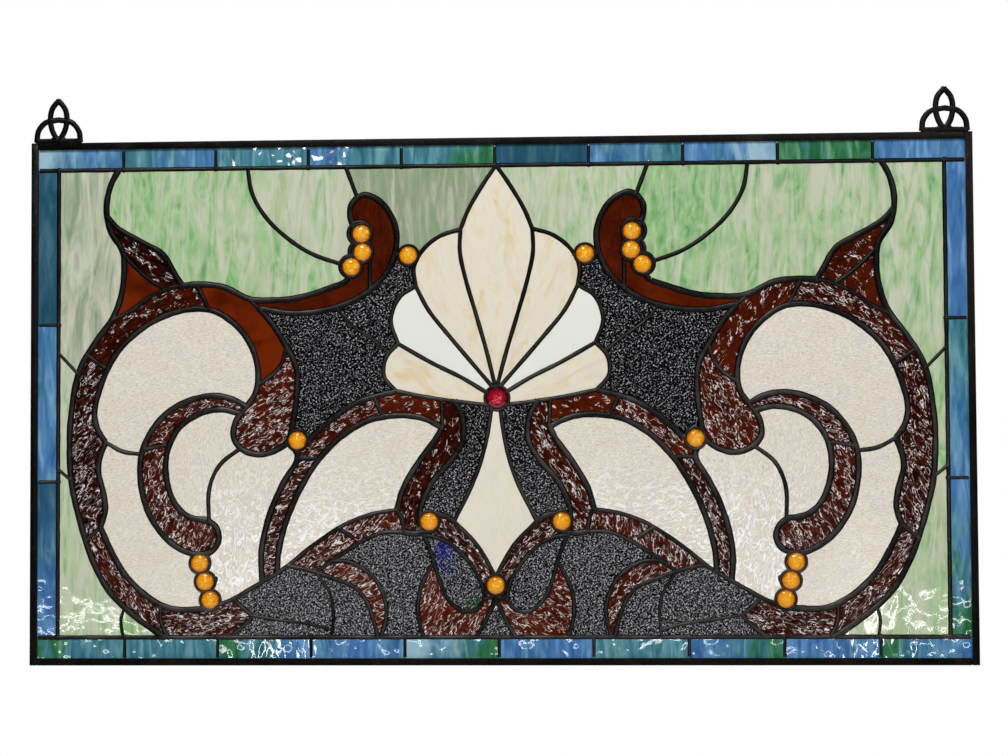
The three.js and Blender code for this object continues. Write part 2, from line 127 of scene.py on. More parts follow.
# Each line is the width of its solder bead and its runs.
FINE, LINE, WIDE = 3.0, 4.0, 5.8
drawing = {
    "outer_scroll": (WIDE, [[(-370.5, 484), (-379, 467.1), (-383, 445.2), (-379.3, 423.7),
        (-367.2, 403.4), (-365.3, 386.7), (-368.4, 358.6), (-376.5, 337.7), (-395.4, 311.4),
        (-409.9, 284.9), (-417.7, 239.6), (-418.8, 211.9), (-417, 178.2), (-409.5, 143.9),
        (-395.8, 101.4), (-378.8, 70.8), (-354.5, 47.6), (-324, 26)]]),
    "horn_top": (WIDE, [[(-382.4, 437.1), (-371.5, 425.2), (-345.4, 410.2), (-326.9, 399.2),
        (-314.8, 379.1), (-307.2, 367.4)]]),
    "horn": (LINE, [[(-377.4, 335.5), (-360.4, 343.8), (-340.7, 357.5), (-319.1, 367),
        (-307, 369)], [(-366.4, 399.7), (-344.9, 378.4), (-326.2, 365.3)]]),
    "ring_top": (WIDE, [[(-310, 368.6), (-294.2, 369.9), (-268.3, 367.3), (-240.8, 354.8),
        (-216.6, 353.8), (-191.4, 356.4), (-149.7, 369.5)]]),
    "ring_right": (WIDE, [[(-233.5, 346.9), (-219.1, 330.1), (-205.7, 307.7), (-196.7, 289.7),
        (-195.1, 270), (-199.6, 233.7), (-204.1, 217), (-215.9, 207.9), (-232.9, 203.5),
        (-249.9, 209.3), (-257.6, 220.6), (-255.3, 236), (-250.5, 243.1)]]),
    "ring_seams": (LINE, [[(-294, 370.4), (-281.1, 344.1)], [(-403.4, 303.1), (-383.5, 288)],
        [(-404.7, 119), (-388.3, 133.7)], [(-329.2, 58.2), (-328.2, 41.3), (-321.1, 26)],
        [(-205.7, 307.7), (-210.4, 292.1), (-219.1, 281.4), (-234.2, 271)], [(-243.9, 356.3),
        (-231.6, 344.9)], [(-348, 208.5), (-322.6, 213.3)], [(-244.3, 250.3), (-251.5, 242)]]),
    "oval": (WIDE, [[(-244.3, 250.3), (-235.6, 264.7), (-233.4, 283.3), (-240.1, 309.1),
        (-257.4, 331.6), (-279.2, 344.3), (-306, 344.8), (-340.8, 331.6), (-371.3, 304.9),
        (-388.1, 271.7), (-394.3, 243.6), (-391.1, 228.6), (-383.1, 216.2)]]),
    "oval_foot": (LINE, [[(-383.1, 216.2), (-366.1, 207.2), (-346.9, 204.4)]]),
    "ring_inner": (WIDE, [[(-383.1, 216.2), (-388.8, 202.1), (-390.5, 188.8), (-385.3, 166.7),
        (-383.5, 149.7), (-388.3, 133.7)], [(-388.3, 133.7), (-379.9, 115.5), (-364.4, 88.3),
        (-342.6, 67), (-318.6, 54.7), (-284.4, 54.3)]]),
    "hook": (WIDE, [[(-243.4, 249.1), (-257.8, 257.2), (-276.4, 261), (-299, 257.1),
        (-320.6, 246.3), (-338.3, 226.7), (-347.7, 204.9), (-348.9, 179.5), (-342.2, 150.5),
        (-326.1, 125.2), (-307.9, 111.4), (-291.9, 106.9), (-277.9, 110.9), (-271.9, 121.9),
        (-274.8, 133.5), (-282.9, 140.2)], [(-282.9, 140.2), (-301.1, 143.6), (-315, 156.6),
        (-323.6, 181.9), (-322.4, 207.4), (-311.2, 229.5), (-292.2, 243), (-269.3, 247.7),
        (-250.5, 243.1)]]),
    "bulb_tail": (LINE, [[(-250.6, 209.9), (-270.9, 193.9), (-281.2, 170.8), (-281.7, 139.5)]]),
    "kidney": (WIDE, [[(-136.4, 453.4), (-127.9, 455.7), (-112.2, 447.5), (-99.9, 427.3),
        (-98, 406.1), (-107.3, 380.2), (-127.5, 360.3), (-159, 345.7), (-200.2, 340.8),
        (-231.6, 345.9)], [(-136.4, 453.4), (-142.5, 444.8), (-143.2, 434.7), (-138.2, 419.6)],
        [(-142.5, 384.7), (-146.8, 372.2), (-150.7, 369.6)]]),
    "kidney_seam": (LINE, [[(-124.4, 411.4), (-124, 362.3)]]),
    "sky": (LINE, [[(-243.9, 484), (-239.4, 458.6), (-227.5, 436.9), (-208.3, 417.1),
        (-182, 399.2), (-148.5, 386.9)], [(-136.2, 453.1), (-147.8, 484)]]),
    "side": (FINE, [[(-431, 304.8), (-409.4, 281.9)], [(-431, 191.1), (-417, 179.3)],
        [(-363.7, 57.2), (-367.7, 44.1), (-365.6, 26)]]),
    "shell_edge": (LINE, [[(0, 484), (-11.1, 468.3), (-27.6, 440.7), (-35.7, 421)], [(-35.7, 421),
        (-55.5, 414.7), (-72.8, 400.8), (-81.1, 383.7), (-79.4, 365.9)], [(-79.4, 365.9),
        (-95.4, 355.3), (-103.7, 332.6), (-96.9, 310.3)], [(-96.9, 310.3), (-108.4, 297.1),
        (-110.4, 278.4), (-98.9, 264.4)], [(-98.9, 264.4), (-70.2, 258.4), (-40.7, 253.9),
        (-8.3, 250)]]),
    "petals": (LINE, [[(-35.7, 421), (-36.3, 399), (-31.5, 374.9), (-21.4, 339.8), (-11, 302.9),
        (-1.5, 263.4)], [(-79.4, 365.9), (-66.9, 342.4), (-46.8, 317.1), (-5, 267.4)],
        [(-96.9, 310.3), (-63.7, 291.3), (-34.6, 276.7), (-8, 260.5)]]),
    "upper_dark": (FINE, [[(-157, 345.8), (-145, 331.6), (-121.1, 314.2), (-105.3, 301.2)]]),
    "arch": (WIDE, [[(-184.5, 217.4), (-160.6, 237.8), (-136.7, 253.6), (-98.9, 264.4)],
        [(-53.3, 228.3), (-73, 238), (-100.1, 240.7), (-128.1, 235.1), (-154.1, 219.2),
        (-178.4, 193.2), (-201.4, 151.3), (-213.2, 112.3), (-215.1, 88.2)], [(-198.4, 211),
        (-194.8, 200.1), (-208.5, 176.7), (-222.2, 145.9), (-230.3, 109.9), (-229.4, 78.8)]]),
    "arch_seams": (LINE, [[(-199, 199.3), (-175.7, 199.6)], [(-121.4, 260.8), (-111.4, 237.8)],
        [(-54.6, 257.2), (-53.9, 229.2)], [(-98.2, 149.5), (-93.5, 140), (-91.3, 127.5)]]),
    "column": (WIDE, [[(-53.8, 230.2), (-59.6, 219.2), (-78.5, 193.6), (-92.7, 168.9),
        (-98.2, 149.5)], [(-91.3, 128.1), (-81.7, 126.4), (-63.7, 129.5)], [(-61.5, 145.5),
        (-51.7, 143.4), (-41.9, 137.2)], [(-43.1, 255.9), (-34.6, 238.3), (-34.6, 215.3),
        (-45.5, 197.2), (-64.4, 175.7), (-75.3, 150.2), (-75.2, 140.2)]]),
    "foot_end": (LINE, [[(-258.8, 65.5), (-247.8, 55), (-238.8, 47.6)], [(-238.8, 47.6),
        (-247.9, 37.8), (-263.5, 26)]]),
    "hill": (LINE, [[(-276.5, 57.2), (-260.8, 62.7), (-242.1, 73.1), (-209, 92.7),
        (-182.3, 113.9), (-149.2, 135.5), (-122.8, 145.4), (-98.2, 149.5)]]),
    "lower_arch": (LINE, [[(-91.3, 128.1), (-112.7, 127.5), (-133.6, 118.8), (-154.9, 105.2),
        (-167, 96.8)], [(-205.9, 96.1), (-190, 93), (-175.1, 89.1)], [(-157.1, 133.1),
        (-138.5, 121.4)], [(-167, 96.8), (-177.1, 89.5)]]),
    "dark_hill": (FINE, [[(-238.8, 47.9), (-211.8, 43.5), (-183.5, 39.7), (-161.3, 33.7)],
        [(-177.1, 89.5), (-163.2, 67.9), (-160.3, 47.6), (-162.3, 26)]]),
    "claw": (LINE, [[(-167, 96.8), (-156.9, 100.2), (-140.9, 98), (-119.8, 82.8), (-109.2, 57.6),
        (-110.2, 40.6), (-114.6, 26)], [(-177.1, 89.5), (-159, 83.2), (-138.9, 74.4),
        (-126.8, 58.8), (-116.6, 26)]]),
    "kite": (LINE, [[(-5.9, 249), (-12.6, 211.5), (-23.3, 178.5), (-43, 138.2)], [(-43, 138.2),
        (-20.3, 114.4), (-2.8, 84)]]),
    "webs": (LINE, [[(-3.1, 72.2), (-3.3, 57.2)], [(-14.9, 62.5), (-3.6, 67.2)], [(-99, 397.2),
        (-92, 397.2)], [(-82, 394.2), (-75, 394.2)]]),
    "cup": (LINE, [[(-62.9, 99.7), (-75.4, 74.6), (-78.3, 50.4), (-72.6, 26)], [(-4.7, 62.2),
        (-10.7, 47.3), (-22.5, 26)]]),
    "drop": (LINE, [[(-74.7, 125), (-61.7, 123), (-46, 116.1), (-33.1, 104.1), (-22.3, 89.2),
        (-15.9, 75.3), (-14.9, 62.5), (-23.6, 52.4), (-36.9, 51.4)], [(-35, 50.8), (-48.9, 62.4),
        (-56.8, 79.5), (-62.9, 99.7)], [(-62.9, 99.7), (-66.4, 109.8), (-73.6, 127)]]),
}
JEWEL, RUBY, RING = 8.8, 10.6, 3.2
RUBY_PLACE = (-1, 257)
left_jewels = {
    "kidney_top": (-132, 417.5), "kidney_middle": (-131, 399.5), "kidney_low": (-142, 385.4),
    "kidney_inner": (-86.5, 396), "arch": (-195, 217), "foot_top": (-290.4, 98.6),
    "foot_middle": (-285.3, 80.8), "foot_low": (-280.3, 63), "column": (-67, 138),
}
jewels = {f"jewel_{name}_left": place for name, place in left_jewels.items()}
jewels |= {f"jewel_{name}_right": mirrored(place) for name, place in left_jewels.items()}
jewels |= {"jewel_centre": (-3, 76.6), "jewel_ruby": RUBY_PLACE}

# The border's lines run straight, and its short seams part it into tiles.
BORDER_TILE, SIDE = 91, PANEL_WIDE / 2
border_seams = [[(BORDER_TILE * i, 0), (BORDER_TILE * i, BORDER_LOW)] for i in range(-4, 5)]
border_seams += [
    [(BORDER_TILE * i - 2, BORDER_HIGH), (BORDER_TILE * i - 2, PANEL_HIGH)] for i in range(-4, 5)
]
for z in (178, 331):
    border_seams += [[(-SIDE, z), (-BORDER_X, z)], [(BORDER_X, z), (SIDE, z)]]
border_lines = [[(-SIDE, z), (SIDE, z)] for z in (BORDER_LOW, BORDER_HIGH)]
border_lines += [[(x, BORDER_LOW), (x, BORDER_HIGH)] for x in (-BORDER_X, BORDER_X)]


# ---- Sheet glass ----
# Flat panes of sheet glass, 3 mm thick, each cut and ground to one cell of the drawing. Thin walls
# stand along the drawing's lines and cut one big blank into its tiles. A tile's place then says
# which pane it belongs to.
GLASS = 3.0
KERF, WALL, OVERCUT = 0.25, 5, 3


def select(*pieces):
    bpy.ops.object.select_all(action="DESELECT")
    for piece in pieces:
        piece.select_set(True)
    bpy.context.view_layer.objects.active = pieces[0]


def settle(piece):
    """Puts a piece's place, turn and size into its mesh."""
    select(piece)
    bpy.ops.object.transform_apply(location=True, rotation=True, scale=True)
    return piece


def with_modifier(piece, kind, **settings):
    select(piece)
    modifier = piece.modifiers.new(kind.lower(), kind)
    for name, value in settings.items():
        setattr(modifier, name, value)
    bpy.ops.object.modifier_apply(modifier=modifier.name)


def combine(piece, other, operation):
    with_modifier(piece, "BOOLEAN", object=other, operation=operation, solver="MANIFOLD")
    bpy.data.objects.remove(other)
    return piece


def fused(pieces):
    """One closed piece, joined by pairs so that no step is a big one."""
    while len(pieces) > 1:
        pairs = [combine(a, b, "UNION") for a, b in zip(pieces[::2], pieces[1::2])]
        pieces = pairs + (pieces[-1:] if len(pieces) % 2 else [])
    return pieces[0]


def upright_curve(points, half_width, half_depth, upright=0.0, swell=None):
    """A curve laid flat, given a round section, turned upright and pressed to its depth in Y."""
    curve = bpy.data.curves.new("run", "CURVE")
    curve.dimensions = "3D"
    curve.twist_mode = "Z_UP"
    curve.bevel_depth = half_width * MM
    curve.bevel_resolution = 0 if upright else 3
    curve.extrude = upright * MM
    curve.use_fill_caps = True
    spline = curve.splines.new("POLY")
    spline.points.add(len(points) - 1)
    for i, (x, z) in enumerate(points):
        spline.points[i].co = (x * MM, z * MM, 0, 1)
        spline.points[i].radius = swell[i] if swell else 1
    run = bpy.data.objects.new("run", curve)
    bpy.context.scene.collection.objects.link(run)
    select(run)
    bpy.ops.object.convert(target="MESH")
    run = bpy.context.object
    bpy.ops.object.mode_set(mode="EDIT")
    bpy.ops.mesh.select_all(action="SELECT")
    bpy.ops.mesh.remove_doubles(threshold=1e-6)
    bpy.ops.mesh.normals_make_consistent(inside=False)
    bpy.ops.object.mode_set(mode="OBJECT")
    run.rotation_euler.x = math.pi / 2
    run.location.z = PANEL_FOOT
    run.scale.z = half_depth / half_width if not upright else 1
    return settle(run)


def disc(place, radius, half_depth):
    bpy.ops.mesh.primitive_cylinder_add(
        vertices=32, radius=radius * MM, depth=2 * half_depth * MM,
        location=(place[0] * MM, 0, place[1] * MM + PANEL_FOOT), rotation=(math.pi / 2, 0, 0),
    )
    return settle(bpy.context.object)


all_runs = []
for width, runs in drawing.values():
    for run in runs:
        all_runs += [(width, run), (width, [mirrored(point) for point in run])]
walls = [
    upright_curve(smooth_run(run, OVERCUT, 6), KERF, WALL, upright=WALL) for _, run in all_runs
]
walls += [upright_curve(run, KERF, WALL, upright=WALL) for run in border_seams + border_lines]
walls += [
    disc(place, (RUBY if name == "jewel_ruby" else JEWEL) + RING / 2, WALL)
    for name, place in jewels.items()
]
bpy.ops.mesh.primitive_cube_add(
    size=1, location=(0, 0, PANEL_FOOT + PANEL_HIGH / 2 * MM),
    scale=(2 * EDGE_X * MM, GLASS * MM, (2 * EDGE_HIGH - PANEL_HIGH) * MM),
)
blank = settle(bpy.context.object)
combine(blank, fused(walls), "DIFFERENCE")
select(blank)
bpy.ops.mesh.separate(type="LOOSE")
cut_tiles = list(bpy.context.selected_objects)

pane_kinds = {
    entry["node"]: entry["material_slot"] for entry in frame["record"]["subparts"]
    if entry["material_slot"].endswith("_glass") and "jewel" not in entry["node"]
}
SIGHT = Vector((0, 1, 0))


def front_points(tile):
    """The middle and the area of each triangle of a tile's front."""
    tile.data.calc_loop_triangles()
    for triangle in tile.data.loop_triangles:
        if triangle.normal.y < -0.9:
            middle = sum((tile.data.vertices[v].co for v in triangle.vertices), Vector()) / 3
            yield middle, triangle.area


def pane_of(tile):
    """The CAD pane that most of a tile's front lies on, or None for a sliver under the solder."""
    shares = {None: 0}
    for middle, area in front_points(tile):
        eye = Vector((middle.x, -1, middle.z))
        names = [n for n in pane_kinds if frame["nodes"][n].ray_cast(eye, SIGHT)[0]]
        for name in names or [None]:
            shares[name] = shares.get(name, 0) + area
    return max(shares, key=shares.get)


tiles = {}
for tile in cut_tiles:
    name = pane_of(tile)
    if name:
        tile.name = "uncut " + name
        tiles.setdefault(name, []).append(tile)
    else:
        bpy.data.objects.remove(tile)


def tile_at(x, z):
    """The tile that holds a place on the drawing."""
    eye = Vector((x * MM, -1, PANEL_FOOT + z * MM))
    for tile in bpy.data.objects:
        if tile.name.startswith("uncut") and tile.ray_cast(eye, SIGHT)[0]:
            return tile.name
    return None


def paired(choices):
    """What a maker chose for some tiles of the left half and for their twins in the right half."""
    chosen = {}
    for (x, z), left, right in choices:
        chosen[tile_at(x, z)] = left
        chosen[tile_at(*mirrored((x, z)))] = right
    return chosen


# A sheet gets its surface as it is rolled, so each tile's front is cut from a rolled sheet whose
# texture runs along the grain that the maker chose, set a little back so that its crests reach
# the tile's face. Its map gives each place on the tile in tenths of a metre along and across that
# grain, so that colour streaks follow it too.
ROLL_OFF = random.Random(11)
HOLLOW = 0.35


def rolled_sheet(tile, pitch, textures, grain):
    """Cuts a tile from a sheet with a rolled front, divided at a pitch in millimetres. Each texture
    is a kind of noise, its spacing across the grain, how much longer it is along it, its height."""
    corners = np.array([tuple(v.co) for v in tile.data.vertices])
    low, high = corners.min(0) - MM, corners.max(0) + MM
    bpy.ops.mesh.primitive_grid_add(
        x_subdivisions=max(int((high[0] - low[0]) / MM / pitch), 2),
        y_subdivisions=max(int((high[2] - low[2]) / MM / pitch), 2),
        size=1, rotation=(math.pi / 2, 0, 0),
        location=((low[0] + high[0]) / 2, -(GLASS / 2 - HOLLOW) * MM, (low[2] + high[2]) / 2),
    )
    sheet = bpy.context.object
    sheet.scale = (high[0] - low[0], high[2] - low[2], 1)
    settle(sheet)
    for kind, spacing, stretch, height in textures:
        texture = bpy.data.textures.new("rolled", kind)
        texture.noise_scale = 1
        bpy.ops.object.empty_add(
            location=[ROLL_OFF.uniform(-1, 1) for _ in range(3)], rotation=(0, -grain, 0)
        )
        way = bpy.context.object
        way.scale = (spacing * stretch * MM, spacing * MM, spacing * MM)
        with_modifier(
            sheet, "DISPLACE", texture=texture, texture_coords="OBJECT",
            texture_coords_object=way, direction="Y", strength=height * MM, mid_level=0.5,
        )
        bpy.data.objects.remove(way)
    select(sheet)
    bpy.ops.object.mode_set(mode="EDIT")
    bpy.ops.mesh.select_all(action="SELECT")
    bpy.ops.mesh.extrude_region_move(TRANSFORM_OT_translate={"value": (0, 2 * GLASS * MM, 0)})
    bpy.ops.mesh.select_all(action="SELECT")
    bpy.ops.mesh.normals_make_consistent(inside=False)
    bpy.ops.object.mode_set(mode="OBJECT")
    combine(sheet, tile, "INTERSECT")
    return sheet


def lay_map(tile, grain):
    """Lays a tile's map along its grain, each tile from a place of its own on the sheet."""
    mesh = tile.data
    while mesh.uv_layers:
        mesh.uv_layers.remove(mesh.uv_layers[0])
    layer = mesh.uv_layers.new(name="sheet")
    places = np.empty(len(mesh.vertices) * 3)
    mesh.vertices.foreach_get("co", places)
    x, _, z = places.reshape(-1, 3).T * 10
    along = x * math.cos(grain) + z * math.sin(grain) + ROLL_OFF.uniform(0, 9)
    across = z * math.cos(grain) - x * math.sin(grain) + ROLL_OFF.uniform(0, 9)
    corners = np.empty(len(mesh.loops), int)
    mesh.loops.foreach_get("vertex_index", corners)
    layer.data.foreach_set("uv", np.stack([along, across], 1)[corners].ravel())
    return x / 10 / MM, z / 10 / MM - PANEL_FOOT / MM


def tinted(tile, first, second, third):
    """Gives a tile its own shares of a glass's colours, each a number or one number a vertex."""
    tint = tile.data.color_attributes.new("tint", "FLOAT_COLOR", "POINT")
    shares = np.ones((len(tile.data.vertices), 4))
    shares[:, 0], shares[:, 1], shares[:, 2] = first, second, third
    tint.data.foreach_set("color", shares.ravel())


def shaded(piece, angle=60):
    select(piece)
    bpy.ops.object.shade_smooth_by_angle(angle=math.radians(angle))


def finished_pane(name, parts, material):
    """Joins a pane's tiles in one piece, which stands for its CAD node."""
    select(*parts)
    if len(parts) > 1:
        bpy.ops.object.join()
    pane = bpy.context.object
    pane.name = f"{name}_tiles" if len(parts) > 1 else f"{name}_glass"
    pane.data.materials.clear()
    pane.data.materials.append(material)
    shaded(pane)
    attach(pane, "root")
    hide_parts(name)


def panes_of(slot_name):
    return sorted(name for name, kind in pane_kinds.items() if kind == slot_name)


# ---- The border: blue and green streaky glass ----
# Oblong tiles of cathedral glass in which blue, teal and green run into each other, smooth but for
# long slow waves. Their outer edges lie in the frame's channel.


def paint(code):
    """A colour as it is mixed, from the six digits that name it."""
    parts = [int(code[i:i + 2], 16) / 255 for i in (1, 3, 5)]
    return [p / 12.92 if p < 0.04045 else ((p + 0.055) / 1.055) ** 2.4 for p in parts] + [1]


def finish(name, **plain):
    """A new finish, with plain values on its shader."""
    material = bpy.data.materials.new(name)
    material.use_nodes = True
    dress(material, **plain)
    return material


def dress(material, **inputs):
    """Sets inputs of a finish's shader, each to a plain value or to another node's output."""
    for socket, value in inputs.items():
        set_input(material, material.node_tree.nodes["Principled BSDF"], socket, value)


def set_input(material, node, socket, value):
    socket = node.inputs[socket.replace("_", " ") if isinstance(socket, str) else socket]
    if isinstance(value, bpy.types.NodeSocket):
        material.node_tree.links.new(value, socket)
    else:
        socket.default_value = value


def add(material, kind, inputs=(), output=0, **settings):
    """Adds a node to a finish and returns one of its outputs."""
    node = material.node_tree.nodes.new("ShaderNode" + kind)
    for name, value in settings.items():
        setattr(node, name, value)
    for socket, value in dict(inputs).items():
        set_input(material, node, socket, value)
    return node.outputs[output]


def grain_map(material, along=1.0, across=1.0):
    """The piece's map, scaled along and across its grain."""
    place = add(material, "UVMap", uv_map="sheet")
    return add(material, "Mapping", {"Vector": place, "Scale": (along, across, 1)})


def noise(material, place, scale, detail, distortion, roughness=0.5):
    return add(material, "TexNoise", {
        "Vector": place, "Scale": scale, "Detail": detail, "Distortion": distortion,
        "Roughness": roughness,
    })


def ramp(material, amount, *stops):
    """Colours or levels in turn, each at its place along an amount."""
    node = material.node_tree.nodes.new("ShaderNodeValToRGB")
    elements = node.color_ramp.elements
    while len(elements) < len(stops):
        elements.new(0.5)
    for element, (place, colour) in zip(elements, stops):
        element.position = place
        element.color = paint(colour) if isinstance(colour, str) else [colour] * 3 + [1]
    set_input(material, node, "Fac", amount)
    return node.outputs["Color"]


def blend(material, amount, first, second):
    first = paint(first) if isinstance(first, str) else first
    second = paint(second) if isinstance(second, str) else second
    return add(material, "MixRGB", {"Fac": amount, "Color1": first, "Color2": second})


def laid_over(material, tone, colour, amount, share, *stops, operation="ADD"):
    """Lays a colour over a tone where an amount, with the tile's share of it, comes to enough."""
    edge = add(material, "Math", {0: amount, 1: share}, operation=operation)
    return blend(material, ramp(material, edge, *stops), tone, colour)


def shares_of(material):
    """The three shares of the tile's tint."""
    parts = material.node_tree.nodes.new("ShaderNodeSeparateColor")
    set_input(material, parts, "Color", add(material, "VertexColor", layer_name="tint"))
    return parts.outputs


streaky = finish("blue_green_streaky_glass", Roughness=0.04, IOR=1.52)
teal_share, pale_share, green_share = shares_of(streaky)[:3]
band = noise(streaky, grain_map(streaky, 0.5, 1.2), 4, 3, 0.9)
wisp = noise(streaky, grain_map(streaky, 0.45, 2.2), 5, 4, 1.0)
patch = noise(streaky, grain_map(streaky, 0.6, 1.0), 3, 2, 0.8)
blues = ramp(streaky, wisp, (0.28, "#2e5c96"), (0.50, "#4d7db4"), (0.74, "#7faad2"))
teals = ramp(streaky, wisp, (0.28, "#275d6e"), (0.50, "#48808f"), (0.74, "#79abb0"))
greens = ramp(streaky, wisp, (0.30, "#1b5c38"), (0.52, "#39784f"), (0.74, "#7aab8a"))
body = laid_over(streaky, blues, teals, patch, teal_share, (0.55, 0.0), (1.0, 1.0))
body = laid_over(streaky, body, greens, band, green_share, (0.80, 0.0), (1.10, 1.0))
body = laid_over(streaky, body, "#a6c8d8", band, pale_share, (0.75, 0.0), (1.35, 0.8))
deep = add(streaky, "Math", {0: pale_share, 1: -1}, operation="MULTIPLY")
body = blend(streaky, ramp(streaky, deep, (0.0, 0.0), (1.0, 1.0)), body, "#123a52")
dress(streaky, Base_Color=body)

# Each tile's shares of teal, pale (or deep, below nought) and green, at its left or lower end and
# at its other end.
BLUE, TEAL, PALE, GREEN = (0.1, 0.1, 0), (0.6, 0.1, 0.1), (0.3, 0.55, 0.1), (0.5, 0.1, 0.55)
DEEP = (0.45, -0.7, 0.05)
border_choice = {
    (-408, 495): (PALE, BLUE), (-320, 495): (TEAL, BLUE), (-230, 495): (TEAL, TEAL),
    (-140, 495): (BLUE, TEAL), (-50, 495): (TEAL, GREEN), (45, 495): (DEEP, DEEP),
    (135, 495): (BLUE, TEAL), (230, 495): (BLUE, PALE), (320, 495): (GREEN, GREEN),
    (408, 495): (BLUE, BLUE), (-408, 14): (GREEN, TEAL), (-320, 14): (TEAL, TEAL),
    (-230, 14): (GREEN, BLUE), (-140, 14): (BLUE, BLUE), (-45, 14): (PALE, GREEN),
    (45, 14): (BLUE, BLUE), (135, 14): (TEAL, TEAL), (230, 14): (BLUE, GREEN),
    (320, 14): (BLUE, BLUE), (408, 14): (GREEN, BLUE), (-442, 400): (DEEP, DEEP),
    (-442, 250): (BLUE, BLUE), (-442, 100): (BLUE, DEEP), (442, 400): (BLUE, BLUE),
    (442, 250): (BLUE, TEAL), (442, 100): (GREEN, BLUE),
}
border_choice = {tile_at(*place): ends for place, ends in border_choice.items()}
UPRIGHT = math.pi / 2
LONG_WAVES = [("CLOUDS", 8, 1.6, 0.32), ("CLOUDS", 22, 1.3, 0.4)]
for name in panes_of("border_glass"):
    parts = []
    for tile in tiles[name]:
        near, far = border_choice[tile.name]
        sheet = rolled_sheet(tile, 1.8, LONG_WAVES, UPRIGHT)
        x, z = lay_map(sheet, UPRIGHT)
        along = z if name in ("border_left", "border_right") else x
        share = (along - along.min()) / (along.max() - along.min())
        tinted(sheet, *[a + (b - a) * share for a, b in zip(near, far)])
        parts.append(sheet)
    finished_pane(name, parts, streaky)

# ---- The ground: green and white wispy glass ----
# Opalescent glass round the scrolls, its green and white streaks set upright, with mauve and
# brown wisps in the tiles beside the shell.
wispy = finish("green_white_wispy_glass", Roughness=0.05, IOR=1.52)
mauve_share, bright_share, grey_share = shares_of(wispy)[:3]
streak = noise(wispy, grain_map(wispy, 0.27, 1.6), 4.2, 5, 1.8, 0.58)
fine_streak = noise(wispy, grain_map(wispy, 0.24, 2.8), 6, 5, 1.2)
cloud = noise(wispy, grain_map(wispy, 0.5, 1.0), 2.6, 3, 1.0)
curl = noise(wispy, grain_map(wispy, 0.6, 1.1), 3.6, 4, 3.0)
ground = ramp(wispy, cloud, (0.32, "#bcc4a2"), (0.50, "#cbceb8"), (0.68, "#b4c7a0"))
green = ramp(wispy, curl, (0.30, "#4f9a58"), (0.48, "#7fb672"), (0.68, "#a5cc92"))
ground = laid_over(wispy, ground, green, streak, bright_share, (0.60, 0.0), (0.86, 0.9))
ground = laid_over(wispy, ground, "#dcdfd0", fine_streak, bright_share, (0.34, 0.0),
    (0.62, 0.65), operation="SUBTRACT")
ground = laid_over(wispy, ground, "#a08d86", fine_streak, mauve_share, (0.62, 0.0), (0.98, 0.75))
ground = laid_over(wispy, ground, "#74866c", streak, grey_share, (0.74, 0.0), (1.0, 0.6))
dress(wispy, Base_Color=ground)

# Each tile's shares of mauve, of bright green and of grey.
ground_choice = paired([
    ((-300, 440), (0.0, 0.24, 0.0), (0.05, 0.22, 0.0)),
    ((-170, 440), (0.12, 0.14, 0.0), (0.10, 0.32, 0.1)),
    ((-60, 450), (0.18, 0.14, 0.48), (0.06, 0.16, 0.1)),
    ((-400, 440), (0.14, 0.10, 0.36), (0.0, 0.20, 0.0)),
    ((-425, 240), (0.05, 0.12, 0.1), (0.0, 0.24, 0.0)),
    ((-405, 60), (0.0, 0.14, 0.1), (0.0, 0.18, 0.05)),
    ((-350, 35), (0.0, 0.26, 0.0), (0.0, 0.1, 0.0)),
])
SLOW_WAVES = [("CLOUDS", 26, 2, 0.35), ("CLOUDS", 8, 1.6, 0.26)]
ROLLED_WAY, STREAKED_WAY = 1.5, math.radians(88)
for name in panes_of("green_glass"):
    parts = []
    for tile in tiles[name]:
        choice = ground_choice.get(tile.name, (0, 0.2, 0))
        sheet = rolled_sheet(tile, 2.2, SLOW_WAVES, ROLLED_WAY)
        lay_map(sheet, STREAKED_WAY)
        tinted(sheet, *choice)
        parts.append(sheet)
    finished_pane(name, parts, wispy)

# ---- Inside the scrolls: ivory glass ----
# Dense ivory glass with a fibrous face, a few dark seeds and a faint mauve cloud. It is rolled with
# ripples, but for the ovals' smoother sheet; low down on the rippled tiles, thin white lines of
# painted reflection wind through its colour.


def threads(material, pattern, *stops):
    """Thin lines that wind along the places where a pattern is at its middle."""
    away = add(material, "Math", {0: pattern, 1: 0.5}, operation="SUBTRACT")
    away = add(material, "Math", {0: away}, operation="ABSOLUTE")
    return ramp(material, away, *stops)


def bump(material, height, strength, depth):
    """Ends a finish with fine relief, of a depth in millimetres."""
    normal = add(material, "Bump", {"Height": height, "Strength": strength, "Distance": depth * MM})
    dress(material, Normal=normal)


ivory = finish("rippled_ivory_glass", Roughness=0.06, IOR=1.52)
fibre = noise(ivory, grain_map(ivory, 1.4, 6.0), 22, 5, 0.8)
cloud = noise(ivory, grain_map(ivory, 1.0, 1.6), 3.0, 3, 0.6)
seed = noise(ivory, grain_map(ivory), 62, 1, 0.0)
tone = ramp(ivory, cloud, (0.36, "#f0e8da"), (0.52, "#f5efe2"), (0.66, "#efe7e3"))
tone = blend(ivory, ramp(ivory, fibre, (0.35, 0.0), (0.66, 0.8)), tone, "#c4baa9")
tone = blend(ivory, ramp(ivory, seed, (0.70, 0.0), (0.76, 0.75)), tone, "#7d7260")
# Painted reflection: thin white lines in the colour, set by each vertex's first share.
net = noise(ivory, grain_map(ivory, 0.7, 1.3), 8.5, 1, 1.6)
net = threads(ivory, net, (0.018, 1.0), (0.046, 0.0))
net = add(ivory, "Math", {0: net, 1: shares_of(ivory)[0]}, operation="MULTIPLY")
tone = blend(ivory, net, tone, "#ffffff")
dress(ivory, Base_Color=tone)
bump(ivory, noise(ivory, grain_map(ivory, 1.6, 4.5), 16, 4, 0.6), 0.25, 0.4)
RIPPLE_HIGH, SMOOTHER_HIGH = 0.8, 0.25
REFLECTIONS_BELOW, REFLECTIONS_WITHIN = 215, 315
